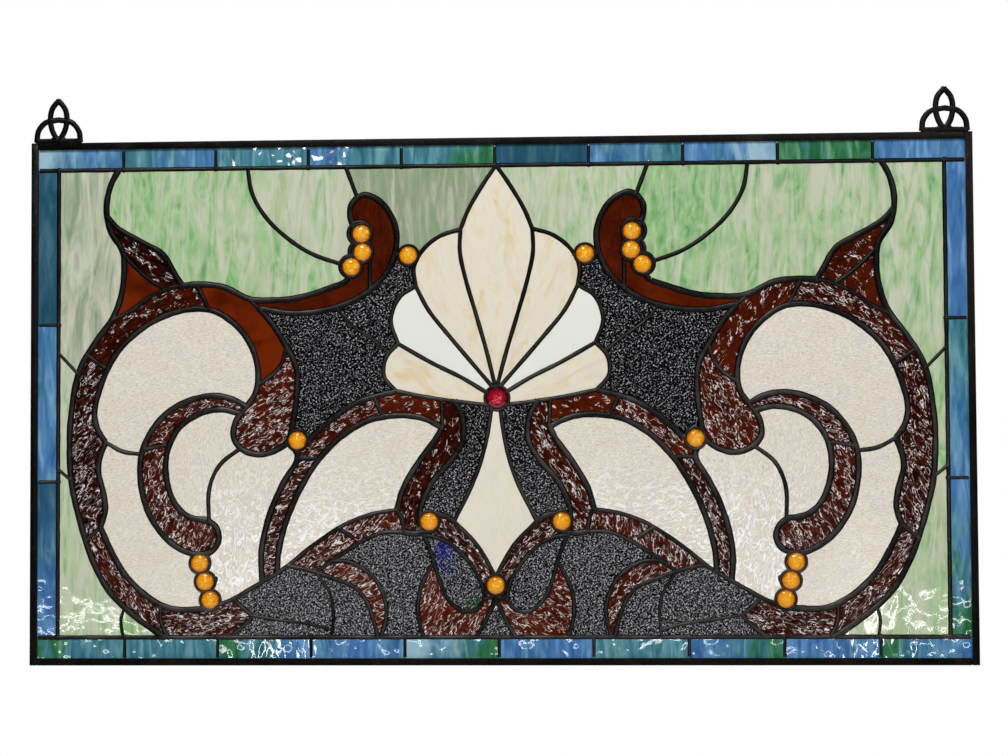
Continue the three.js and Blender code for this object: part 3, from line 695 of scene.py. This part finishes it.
for name in panes_of("ivory_glass"):
    parts = []
    rippled = "oval" not in name
    height = RIPPLE_HIGH if rippled else SMOOTHER_HIGH
    textures = [("CLOUDS", 5.5, 2.6, height), ("CLOUDS", 16, 1.6, height)]
    grain = math.radians(78 if name.startswith("hook") else 12)
    for tile in tiles[name]:
        sheet = rolled_sheet(tile, 1.5, textures, grain)
        x, z = lay_map(sheet, grain)
        # Each vertex's share of painted reflection: low down, and not far out to the sides.
        low = np.clip((REFLECTIONS_BELOW - z) / 80, 0, 1)
        low *= np.clip((REFLECTIONS_WITHIN - np.abs(x)) / 40, 0, 1)
        tinted(sheet, low * rippled, 0, 0)
        parts.append(sheet)
    finished_pane(name, parts, ivory)

# ---- The shell and the kite: cream glass ----
# Smooth white opalescent glass. Thin amber wisps run along the petals, but for the pair that is
# plain white.
cream = finish("cream_opal_glass", Roughness=0.08, IOR=1.52)
amber_share = shares_of(cream)[0]
cloud = noise(cream, grain_map(cream, 0.7, 1.5), 4, 3, 0.9)
wisp = noise(cream, grain_map(cream, 0.55, 1.2), 3.6, 4, 2.0)
tone = blend(
    cream, amber_share, "#eaece4",
    ramp(cream, cloud, (0.35, "#e5dccc"), (0.55, "#e9e2d0"), (0.70, "#e6dabc")),
)
tone = laid_over(cream, tone, "#dfbf78", wisp, amber_share, (0.52, 0.0), (0.74, 0.65),
    operation="MULTIPLY")
dress(cream, Base_Color=tone)
white_petals = {tile_at(-60, 315), tile_at(60, 315)}
PETALS_MEET, CREAM_WAVES = (-1, 250), [("CLOUDS", 30, 2, 0.4)]
for name in panes_of("cream_glass"):
    parts = []
    for tile in tiles[name]:
        middle = sum((v.co for v in tile.data.vertices), Vector()) / len(tile.data.vertices)
        grain = math.atan2(
            middle.z - (PANEL_FOOT + PETALS_MEET[1] * MM), middle.x - PETALS_MEET[0] * MM
        )
        white = tile.name in white_petals
        sheet = rolled_sheet(tile, 3, CREAM_WAVES, grain)
        lay_map(sheet, grain)
        tinted(sheet, 0.0 if white else 0.85 if name == "kite" else 1.0, 0, 0)
        parts.append(sheet)
    finished_pane(name, parts, cream)

# ---- The scrolls: red-brown hammered glass ----
# Dark red-brown glass with a rippled face that glitters, cut so that the ripples run a different
# way in each tile; the glitter comes partly from the lamps and partly from thin pale glints painted
# into its colour. A few tiles come from a smoother and more orange sheet. Each kind of sheet has
# its textures and its share of painted glints.
RIPPLED = [("CLOUDS", 3.6, 3.0, 1.1), ("CLOUDS", 9, 1.5, 0.5)], 0.14
SPECKLED = [("CLOUDS", 2.6, 1.4, 0.9)], 0.2
SPARSE = [("CLOUDS", 6, 1.8, 0.8), ("CLOUDS", 14, 1, 0.5)], 0.04
SMOOTH = [("CLOUDS", 20, 1.5, 0.5), ("CLOUDS", 7, 2, 0.15)], -0.3
brown = finish("red_brown_hammered_glass", Roughness=0.05, IOR=1.52, Specular_IOR_Level=0.22)
orange_share, painted_glint_share = shares_of(brown)[:2]
ripple = noise(brown, grain_map(brown, 0.8, 2.6), 13, 4, 0.8)
cloud = noise(brown, grain_map(brown), 4, 3, 0.5)
tone = ramp(brown, ripple, (0.38, "#0b0202"), (0.52, "#250804"), (0.68, "#481205"))
smooth_tone = ramp(brown, cloud, (0.35, "#4a1402"), (0.62, "#6d2405"))
tone = blend(brown, orange_share, tone, smooth_tone)
# Painted glints: thin pale lines in patches, laid into the colour by each tile's share of them.
painted_glint_lines = noise(brown, grain_map(brown, 0.8, 2.3), 12, 1, 1.1)
painted_glint_lines = threads(brown, painted_glint_lines, (0.010, 1.0), (0.030, 0.0))
lit = noise(brown, grain_map(brown, 1.0, 1.5), 11, 2, 0.4)
lit = add(brown, "Math", {0: lit, 1: painted_glint_share}, operation="ADD")
lit = ramp(brown, lit, (0.58, 0.0), (0.64, 1.0))
painted_glint = add(brown, "Math", {0: painted_glint_lines, 1: lit}, operation="MULTIPLY")
tone = blend(brown, painted_glint, tone, "#ebe1de")
dress(brown, Base_Color=tone)
relief = noise(brown, grain_map(brown, 1.0, 3.2), 24, 3, 1.2)
relief = add(brown, "Math", {0: relief, 1: lit}, operation="MULTIPLY")
bump(brown, relief, 0.35, 0.5)

# Each tile's ripples, their direction in degrees, and its share of orange.
brown_choice = paired([
    ((-350, 400), (SPARSE, -35, 0.0), (SPARSE, 150, 0.3)),
    ((-357, 362), (SMOOTH, 30, 1.0), (SPARSE, 120, 0.4)),
    ((-340, 347), (SPARSE, 32, 0.15), (RIPPLED, 146, 0.2)),
    ((-404, 220), (RIPPLED, 45, 0.0), (RIPPLED, 110, 0.1)),
    ((-372, 90), (RIPPLED, -55, 0.2), (RIPPLED, 45, 0.2)),
    ((-295, 40), (RIPPLED, 6, 0.15), (RIPPLED, 160, 0.1)),
    ((-245, 340), (SMOOTH, -50, 1.0), (SPARSE, 60, 0.4)),
    ((-225, 245), (RIPPLED, 32, 0.35), (RIPPLED, 118, 0.35)),
    ((-290, 252), (RIPPLED, 20, 0.3), (RIPPLED, 155, 0.2)),
    ((-335, 170), (RIPPLED, 68, 0.35), (RIPPLED, 118, 0.3)),
    ((-190, 350), (SMOOTH, 10, 0.45), (SMOOTH, 170, 0.7)),
    ((-110, 420), (SMOOTH, 80, 0.4), (SMOOTH, 100, 0.4)),
    ((-85, 248), (SPARSE, 12, 0.5), (SPARSE, 170, 0.6)),
    ((-160, 228), (RIPPLED, 30, 0.3), (RIPPLED, 140, 0.4)),
    ((-215, 140), (RIPPLED, 20, 0.15), (RIPPLED, 120, 0.1)),
    ((-46, 235), (SPARSE, 80, 0.3), (RIPPLED, 100, 0.2)),
    ((-88, 160), (SPARSE, 75, 0.1), (RIPPLED, 120, 0.2)),
    ((-115, 137), (RIPPLED, 15, 0.1), (RIPPLED, 150, 0.3)),
    ((-165, 113), (SPECKLED, 40, 0.3), (RIPPLED, 100, 0.3)),
    ((-128, 84), (SPECKLED, 20, 0.5), (RIPPLED, 45, 0.3)),
    ((-66, 50), (RIPPLED, 58, 0.5), (RIPPLED, 150, 0.5)),
    ((-25, 100), (RIPPLED, -42, 0.1), (RIPPLED, 40, 0.1)),
])
for name in panes_of("brown_glass"):
    parts = []
    for tile in tiles[name]:
        (textures, sheet_glint_share), degrees, orange = brown_choice.get(tile.name, (RIPPLED, 35, 0.2))
        grain = math.radians(degrees)
        sheet = rolled_sheet(tile, 1.1, textures, grain)
        lay_map(sheet, grain)
        # The second share is the tile's share of painted glints.
        tinted(sheet, orange, sheet_glint_share, 0)
        parts.append(sheet)
    finished_pane(name, parts, brown)

# ---- The dark grounds: black granite glass ----
# Near-black glass, cast with a close grain of small bumps that catch the light, with grey glints
# also painted into its colour, most of all low down. One tear-shaped tile has a blue patch and a
# trace of green.
granite = finish("black_granite_glass", Roughness=0.06, IOR=1.52, Specular_IOR_Level=0.2)
blue_share, green_share, grit_glint_share = shares_of(granite)[:3]
# Painted glints: thin grey specks laid into the colour.
painted_grit_glint = noise(granite, grain_map(granite, 1.0, 1.3), 52, 1, 0.8)
painted_grit_glint = threads(granite, painted_grit_glint, (0.030, 1.0), (0.070, 0.0))
broken = noise(granite, grain_map(granite), 60, 1, 0.3)
broken = add(granite, "Math", {0: broken, 1: grit_glint_share}, operation="ADD")
painted_grit_glint = add(granite, "Math", {
    0: painted_grit_glint, 1: ramp(granite, broken, (0.54, 0.0), (0.60, 1.0))}, operation="MULTIPLY")
cloud = noise(granite, grain_map(granite), 5, 2, 0.5)
tone = ramp(granite, cloud, (0.3, "#030303"), (0.7, "#08080a"))
tone = blend(granite, blue_share, tone, "#17196e")
tone = blend(granite, green_share, tone, "#1d4a30")
tone = blend(granite, painted_grit_glint, tone, "#bebdc4")
dress(granite, Base_Color=tone)
bump(granite, noise(granite, grain_map(granite), 50, 2, 0.4), 0.35, 0.5)


def nearness(x, z, place, reach):
    """How near each vertex is to a place, from 1 there down to 0 at its reach."""
    away = np.hypot(x - place[0], z - place[1]) / reach
    return np.clip(1 - away, 0, 1) ** 0.7


blue_tear = tile_at(-44, 90)
GRANITE_GRAIN, GLINTIER_BELOW, BUMPS = 0.6, 210, [("CLOUDS", 2.8, 1.2, 0.7)]
for name in panes_of("granite_glass"):
    parts = []
    for tile in tiles[name]:
        marked = tile.name == blue_tear
        sheet = rolled_sheet(tile, 1.0, BUMPS, GRANITE_GRAIN)
        x, z = lay_map(sheet, GRANITE_GRAIN)
        blue = nearness(x, z, (-52, 113), 12) + 0.5 * nearness(x, z, (-53, 97), 14)
        green = nearness(x, z, (-22, 58), 12)
        low = np.clip((GLINTIER_BELOW - z) / 80, 0, 1)
        plainer = np.clip(blue + green, 0, 1) * marked
        # The third share is the share of painted glints: more low down, less on the blue and green
        # patches.
        tinted(sheet, blue * marked, 0.6 * green * marked, 0.05 * low - 0.09 * plainer)
        parts.append(sheet)
    finished_pane(name, parts, granite)

# ---- Jewels: amber cabochons and a cut ruby ----
# Pressed glass gems, domed in front and low behind, with a sharp rim that the solder holds. The
# ruby where the petals meet is cut with flat facets round its edge.
DOME, BACK = 4.2, 1.6
amber = finish("amber_pressed_glass", Roughness=0.05, IOR=1.54)
ruby = finish("ruby_cut_glass", Roughness=0.04, IOR=1.6)
for material, scale, stops in (
    (amber, 34, (
        (0.04, "#ffca40"), (0.20, "#f5a716"), (0.50, "#eb930a"), (0.85, "#d27c05"),
        (1.0, "#985203"),
    )),
    (ruby, 40, ((0.12, "#d85a68"), (0.24, "#a20c28"), (0.55, "#86081d"), (1.0, "#4a0310"))),
):
    # Painted shade: each gem is darker towards its rim and its upper side, lighter low in the
    # middle.
    painted_shade_share = shares_of(material)[0]
    swirl = noise(material, grain_map(material), scale, 2, 1.2)
    mixed = add(material, "Math", {0: swirl, 1: 1.3, 2: painted_shade_share}, operation="MULTIPLY_ADD")
    mixed = add(material, "Math", {0: mixed, 1: 0.45}, operation="SUBTRACT")
    tone = ramp(material, mixed, *stops)
    dress(material, Base_Color=tone)


def half_round(radius, depth, way, segments, rings):
    """Half of a flattened ball, out along Y."""
    bpy.ops.mesh.primitive_uv_sphere_add(
        segments=segments, ring_count=rings, radius=radius * MM, rotation=(math.pi / 2, 0, 0)
    )
    ball = bpy.context.object
    ball.scale.z = depth / radius
    settle(ball)
    bpy.ops.object.mode_set(mode="EDIT")
    bpy.ops.mesh.select_all(action="SELECT")
    bpy.ops.mesh.bisect(
        plane_co=(0, 0, 0), plane_no=(0, way, 0), clear_inner=True, use_fill=False
    )
    bpy.ops.object.mode_set(mode="OBJECT")
    ball.location.y = way * GLASS / 2 * MM
    return settle(ball)


def gem(radius, segments, rings):
    """A front dome, a low back and the rim between them, closed up in one skin."""
    front = half_round(radius, DOME, -1, segments, rings)
    back = half_round(radius, BACK, 1, segments, rings)
    select(front, back)
    bpy.ops.object.join()
    bpy.ops.object.mode_set(mode="EDIT")
    bpy.ops.mesh.select_all(action="DESELECT")
    bpy.ops.mesh.select_non_manifold()
    bpy.ops.mesh.bridge_edge_loops()
    bpy.ops.mesh.select_all(action="SELECT")
    bpy.ops.mesh.normals_make_consistent(inside=False)
    bpy.ops.object.mode_set(mode="OBJECT")
    return bpy.context.object


def copied(piece):
    """A copy with a mesh of its own."""
    twin = piece.copy()
    twin.data = piece.data.copy()
    bpy.context.scene.collection.objects.link(twin)
    return twin


cabochon, cut_stone = gem(JEWEL, 48, 24), gem(RUBY, 12, 8)
for name, place in jewels.items():
    cut = name == "jewel_ruby"
    radius = RUBY if cut else JEWEL
    piece = copied(cut_stone if cut else cabochon)
    piece.location = (place[0] * MM, 0, place[1] * MM + PANEL_FOOT)
    settle(piece)
    x, z = lay_map(piece, 0)
    out = np.hypot(x - place[0], z - place[1]) / radius
    # Each vertex's share of painted shade: more near the rim and higher up.
    tinted(piece, np.clip(0.9 * out ** 3 + (z - place[1]) / radius * 0.12, -0.1, 1), 0, 0)
    piece.name = f"{name}_gem"
    piece.data.materials.append(ruby if cut else amber)
    shaded(piece, 1 if cut else 40)
    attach(piece, "root")
    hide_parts(name)
for model in (cabochon, cut_stone):
    bpy.data.objects.remove(model)

# ---- The solder: beads over copper foil ----
# Every tile and gem is edged with copper foil, and solder is run over the foil front and back, so
# that rounded beads of it join them all in one net. A patina has turned it nearly black, painted
# darker still towards the top, and the crests of the beads carry a grey painted sheen, in blotches.

# A bead's round section is wider than its line, because its widest part is sunk between the tiles.
BEAD, CREST, SUNK = 2.5, 1.9, 1.6
SEAM_DROP, CORNER_DROP, RING_OUT = 3.2, 3.4, 1.25
DARKER_FROM, DARKEST = 250, 400
metal = finish("black_patina_solder", Metallic=0.85, Roughness=0.42)
place = add(metal, "TexCoord", output=3)
height = add(metal, "SeparateXYZ", {"Vector": place}, output=1)
height = add(metal, "Math", {0: height}, operation="ABSOLUTE")
# Painted sheen: the crests of the beads are a lighter grey, in blotches.
crest = add(metal, "MapRange", {
    "Value": height, "From Min": CREST * MM, "From Max": BEAD * MM}, clamp=True)
blotch = noise(metal, place, 14, 5, 0.6)
mottle = noise(metal, place, 420, 3, 0.3)
painted_crest_sheen = add(metal, "Math", {0: crest, 1: ramp(metal, blotch, (0.36, 0.15), (0.62, 1.0))},
    operation="MULTIPLY")
tone = blend(metal, painted_crest_sheen, "#070606", "#4d4a48")
tone = blend(metal, ramp(metal, mottle, (0.55, 0.0), (0.75, 0.3)), tone, "#6f6862")
tone = blend(metal, ramp(metal, blotch, (0.58, 0.0), (0.75, 0.4)), tone, "#33271f")
# The solder's tone is painted darker towards the top.
level = add(metal, "SeparateXYZ", {"Vector": place}, output=2)
high = add(metal, "MapRange", {
    "Value": level, "From Min": DARKER_FROM * MM + PANEL_FOOT,
    "From Max": DARKEST * MM + PANEL_FOOT}, clamp=True)
high = add(metal, "Math", {0: high, 1: 0.7}, operation="MULTIPLY")
tone = blend(metal, high, tone, "#050404")
dress(metal, Base_Color=tone)
dress(metal, Roughness=ramp(metal, mottle, (0.3, 0.30), (0.7, 0.52)))
bump(metal, mottle, 0.25, 0.3)

HAND = random.Random(5)


def bead(points, width):
    """A bead along a line, a little fuller in some places than in others."""
    lengths = np.concatenate([[0], np.cumsum(np.hypot(*np.diff(np.array(points), axis=0).T))])
    start = HAND.uniform(0, 60)
    swell = [
        1 + 0.035 * math.sin((start + s) / 5.3) + 0.03 * math.sin((start + s) / 2.1)
        for s in lengths
    ]
    return upright_curve(points, width / SUNK, BEAD, swell=swell)


def pool(place, half_width, half_height, turn=0.0, depth=BEAD):
    """A flat drop of solder, its longer side turned by so many degrees."""
    bpy.ops.mesh.primitive_uv_sphere_add(
        segments=20, ring_count=12, radius=MM, rotation=(0, -math.radians(turn), 0),
        location=(place[0] * MM, 0, place[1] * MM + PANEL_FOOT),
    )
    drop = bpy.context.object
    drop.scale = (half_width, depth, half_height)
    return settle(drop)


def ring_bead(place, radius, width):
    """A bead all round a gem."""
    bpy.ops.mesh.primitive_torus_add(
        major_radius=radius * MM, minor_radius=width / 2 * MM, major_segments=64,
        minor_segments=16, rotation=(math.pi / 2, 0, 0),
        location=(place[0] * MM, 0, place[1] * MM + PANEL_FOOT),
    )
    ring = bpy.context.object
    ring.scale.z = BEAD / (width / 2)
    return settle(ring)


BEAD_SHORT = 0.8
beads = [bead(smooth_run(run, -BEAD_SHORT, 6), width) for width, run in all_runs]
# Beads whose ends lie within about 2 mm of each other are joined by a drop.
joints = {}
for width, run in all_runs:
    for x, z in (run[0], run[-1]):
        joints.setdefault((round(x / 2), round(z / 2)), []).append((width, x, z))
for meeting in joints.values():
    width, x, z = min(meeting)
    if len(meeting) > 1 and BORDER_LOW < z < BORDER_HIGH and abs(x) < BORDER_X:
        beads.append(pool((x, z), width / SUNK, width / SUNK, depth=BEAD + 0.02))
# The border's beads stop where the frame's channel covers the glass.
COVER_X, COVER_LOW, COVER_HIGH = 449, 8, 501
beads += [
    bead([(x, z) for x in np.linspace(-COVER_X, COVER_X, 90)], LINE)
    for z in (BORDER_LOW, BORDER_HIGH)
]
beads += [
    bead([(x, z) for z in np.linspace(BORDER_LOW, BORDER_HIGH, 60)], LINE)
    for x in (-BORDER_X, BORDER_X)
]
for run in border_seams:
    clear = [
        (max(min(x, COVER_X), -COVER_X), max(min(z, COVER_HIGH), COVER_LOW)) for x, z in run
    ]
    beads.append(bead(smooth_run(clear, 0, 6), FINE))
for name, place in jewels.items():
    radius = RUBY if name == "jewel_ruby" else JEWEL
    beads.append(ring_bead(place, radius + RING_OUT, RING))
# Drops of solder where the beads crowd: beside the feet's gems, at the rings' tops, below the
# centre gem, at the seams' ends and in the border's corners. The kidneys' gems have a second,
# wider ring instead.
drops = [
    ((-272, 66), 4.0, 2.2, 70), ((-275, 82), 4.4, 2.2, 75), ((-281, 98), 4.0, 2.2, 80),
    ((-290.5, 363), 7.0, 3.2, -64), ((-309, 367.5), 5.0, 2.6, 20),
]
for place, half_width, half_height, turn in drops:
    x, z = mirrored(place)
    beads.append(pool(place, half_width, half_height, turn))
    beads.append(pool((x, z), half_width, half_height, -turn))
beads.append(pool((-3, 62), 4.2, 5.5))
for place, radius, width in (
    ((-133.6, 418), 11.4, 4.6), ((-132.8, 400), 11.2, 4.6), ((-142.6, 386), 10.8, 4.0),
):
    beads += [ring_bead(place, radius, width), ring_bead(mirrored(place), radius, width)]
for run in border_seams:
    for x, z in run:
        if z in (BORDER_LOW, BORDER_HIGH) or abs(x) == BORDER_X:
            beads.append(pool((x, z), SEAM_DROP, SEAM_DROP, depth=BEAD + 0.1))
beads += [
    pool((side * BORDER_X, z), CORNER_DROP, CORNER_DROP, depth=BEAD + 0.15)
    for side in (-1, 1) for z in (BORDER_LOW, BORDER_HIGH)
]
net = fused(beads)
net.name = "solder_beads"
net.data.materials.clear()
net.data.materials.append(metal)
shaded(net)
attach(net, "root")
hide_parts("solder_net")

# ---- The frame: U-channel ----
# Metal channel, folded over the border's edges. The top and bottom bars are butted between the
# side bars and soldered there. It has the same dark patina, rubbed brown in places.
worn_metal = finish("dark_patina_channel", Metallic=0.8, Roughness=0.4)
place = add(worn_metal, "TexCoord", output=3)
blotch = noise(worn_metal, place, 26, 5, 0.8)
mottle = noise(worn_metal, place, 260, 4, 0.5)
tone = ramp(worn_metal, blotch, (0.42, "#070605"), (0.62, "#120d0b"), (0.80, "#2a1f18"))
tone = blend(worn_metal, ramp(worn_metal, mottle, (0.58, 0.0), (0.76, 0.4)), tone, "#46372e")
dress(worn_metal, Base_Color=tone)
dress(worn_metal, Roughness=ramp(worn_metal, blotch, (0.3, 0.30), (0.7, 0.55)))
bump(worn_metal, mottle, 0.3, 0.4)
for side in ("left", "right", "bottom", "top"):
    bar = copied(frame["nodes"][f"frame_{side}"])
    bar.parent = None
    select(bar)
    bpy.ops.object.mode_set(mode="EDIT")
    bpy.ops.mesh.select_all(action="SELECT")
    bpy.ops.mesh.remove_doubles(threshold=1e-6)
    bpy.ops.mesh.dissolve_limited(angle_limit=math.radians(2))
    bpy.ops.object.mode_set(mode="OBJECT")
    with_modifier(bar, "BEVEL", width=0.7 * MM, segments=3, limit_method="ANGLE", angle_limit=0.9)
    bar.name = f"frame_{side}_channel"
    bar.data.materials.clear()
    bar.data.materials.append(worn_metal)
    shaded(bar, 40)
    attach(bar, "root")
    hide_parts(f"frame_{side}")

# ---- The hanging loops: cast brass knots ----
# A pointed loop laced through a broad arch on a flat foot, cast in one piece in brass, darkened
# like the channel, and soldered on over each top corner of the frame.
LOOP_X, LOOP_FOOT, STRAP, STRAP_DEEP = 431, 510.3, 5.7, 2
FOOT_WIDE, FOOT_STRAP = 45.2, 6.2
loop_runs = [
    [(0, 42), (-6.3, 34), (-8.2, 23), (-6, 12), (0, 1.5)],
    [(-21.6, 1.5), (-20, 12), (-13, 20.3), (0, 23)],
]
straps = []
for run in loop_runs:
    for way in (-1, 1):
        placed = [(-LOOP_X + way * x, LOOP_FOOT + z) for x, z in run]
        straps.append(upright_curve(smooth_run(placed, 0.6, 10), STRAP / 2, STRAP_DEEP))
foot = [(-LOOP_X + way * FOOT_WIDE / 2, LOOP_FOOT + 1.6) for way in (-1, 1)]
straps.append(upright_curve(foot, FOOT_STRAP / 2, STRAP_DEEP))
straps.append(pool((-LOOP_X, LOOP_FOOT + 3.8), 8, 3.4, depth=1.9))
straps.append(pool((-LOOP_X, LOOP_FOOT + 41.2), 2.6, 2.8, depth=1.9))
knot = fused(straps)
knot.data.materials.clear()
knot.data.materials.append(worn_metal)
shaded(knot)
for side, shift in (("left", 0), ("right", 2 * LOOP_X)):
    loop = copied(knot)
    loop.location.x = shift * MM
    settle(loop)
    loop.name = f"hanging_loop_{side}_knot"
    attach(loop, "root")
    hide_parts(f"hanging_loop_{side}")
bpy.data.objects.remove(knot)

# ---- Studio ----
# A pale floor well below the hanging panel, a white surround, a broad soft light from the upper
# front, small ones that glint in the ripples, and one high up behind.
FLOOR = -1.35
bpy.ops.mesh.primitive_plane_add(size=3.6, location=(0, 0, FLOOR))
floor = bpy.context.object
pale = finish("pale_floor", Base_Color=paint("#f4f4f3"), Roughness=0.8)
floor.data.materials.append(pale)

world = bpy.data.worlds.new("studio")
bpy.context.scene.world = world
world.use_nodes = True
nodes, links = world.node_tree.nodes, world.node_tree.links
background = nodes["Background"]
background.inputs["Color"].default_value = (1, 1, 1, 1)
path = nodes.new("ShaderNodeLightPath")
level = nodes.new("ShaderNodeMapRange")
links.new(path.outputs["Is Camera Ray"], level.inputs["Value"])
level.inputs["To Min"].default_value = 0.04
level.inputs["To Max"].default_value = 1.0
links.new(level.outputs["Result"], background.inputs["Strength"])
bpy.context.scene.view_settings.view_transform = "Standard"


def soft_light(name, place, aim, size, power):
    bpy.ops.object.light_add(type="AREA", location=place)
    light = bpy.context.object
    light.name = name
    light.data.shape = "RECTANGLE"
    light.data.size, light.data.size_y = size
    light.data.energy = power
    light.rotation_euler = (Vector(aim) - Vector(place)).to_track_quat("-Z", "Y").to_euler()
    light.visible_camera = False


soft_light("key", (-0.6, -2.3, 2.0), (0, 0, -0.25), (0.5, 0.5), 74)
soft_light("fill", (1.9, -2.2, 0.9), (0, 0, -0.3), (0.4, 0.4), 19)
soft_light("low_strip", (-0.1, -2.0, -0.66), (-0.1, 0, -0.4), (2.2, 0.009), 1.7)
soft_light("left_strip", (-0.55, -2.0, -0.75), (0, 0, -0.4), (0.012, 0.5), 0.8)
soft_light("right_strip", (0.62, -2.0, -0.75), (0, 0, -0.4), (0.012, 0.5), 0.8)
soft_light("high_spark", (-0.5, -2.0, 0.35), (0, 0, -0.2), (0.12, 0.12), 2.0)
soft_light("high_spark_2", (0.7, -2.0, 0.45), (0, 0, -0.2), (0.12, 0.12), 2.0)
soft_light("back", (0.4, 1.7, 1.3), (0, 0, -0.3), (0.8, 0.8), 50)
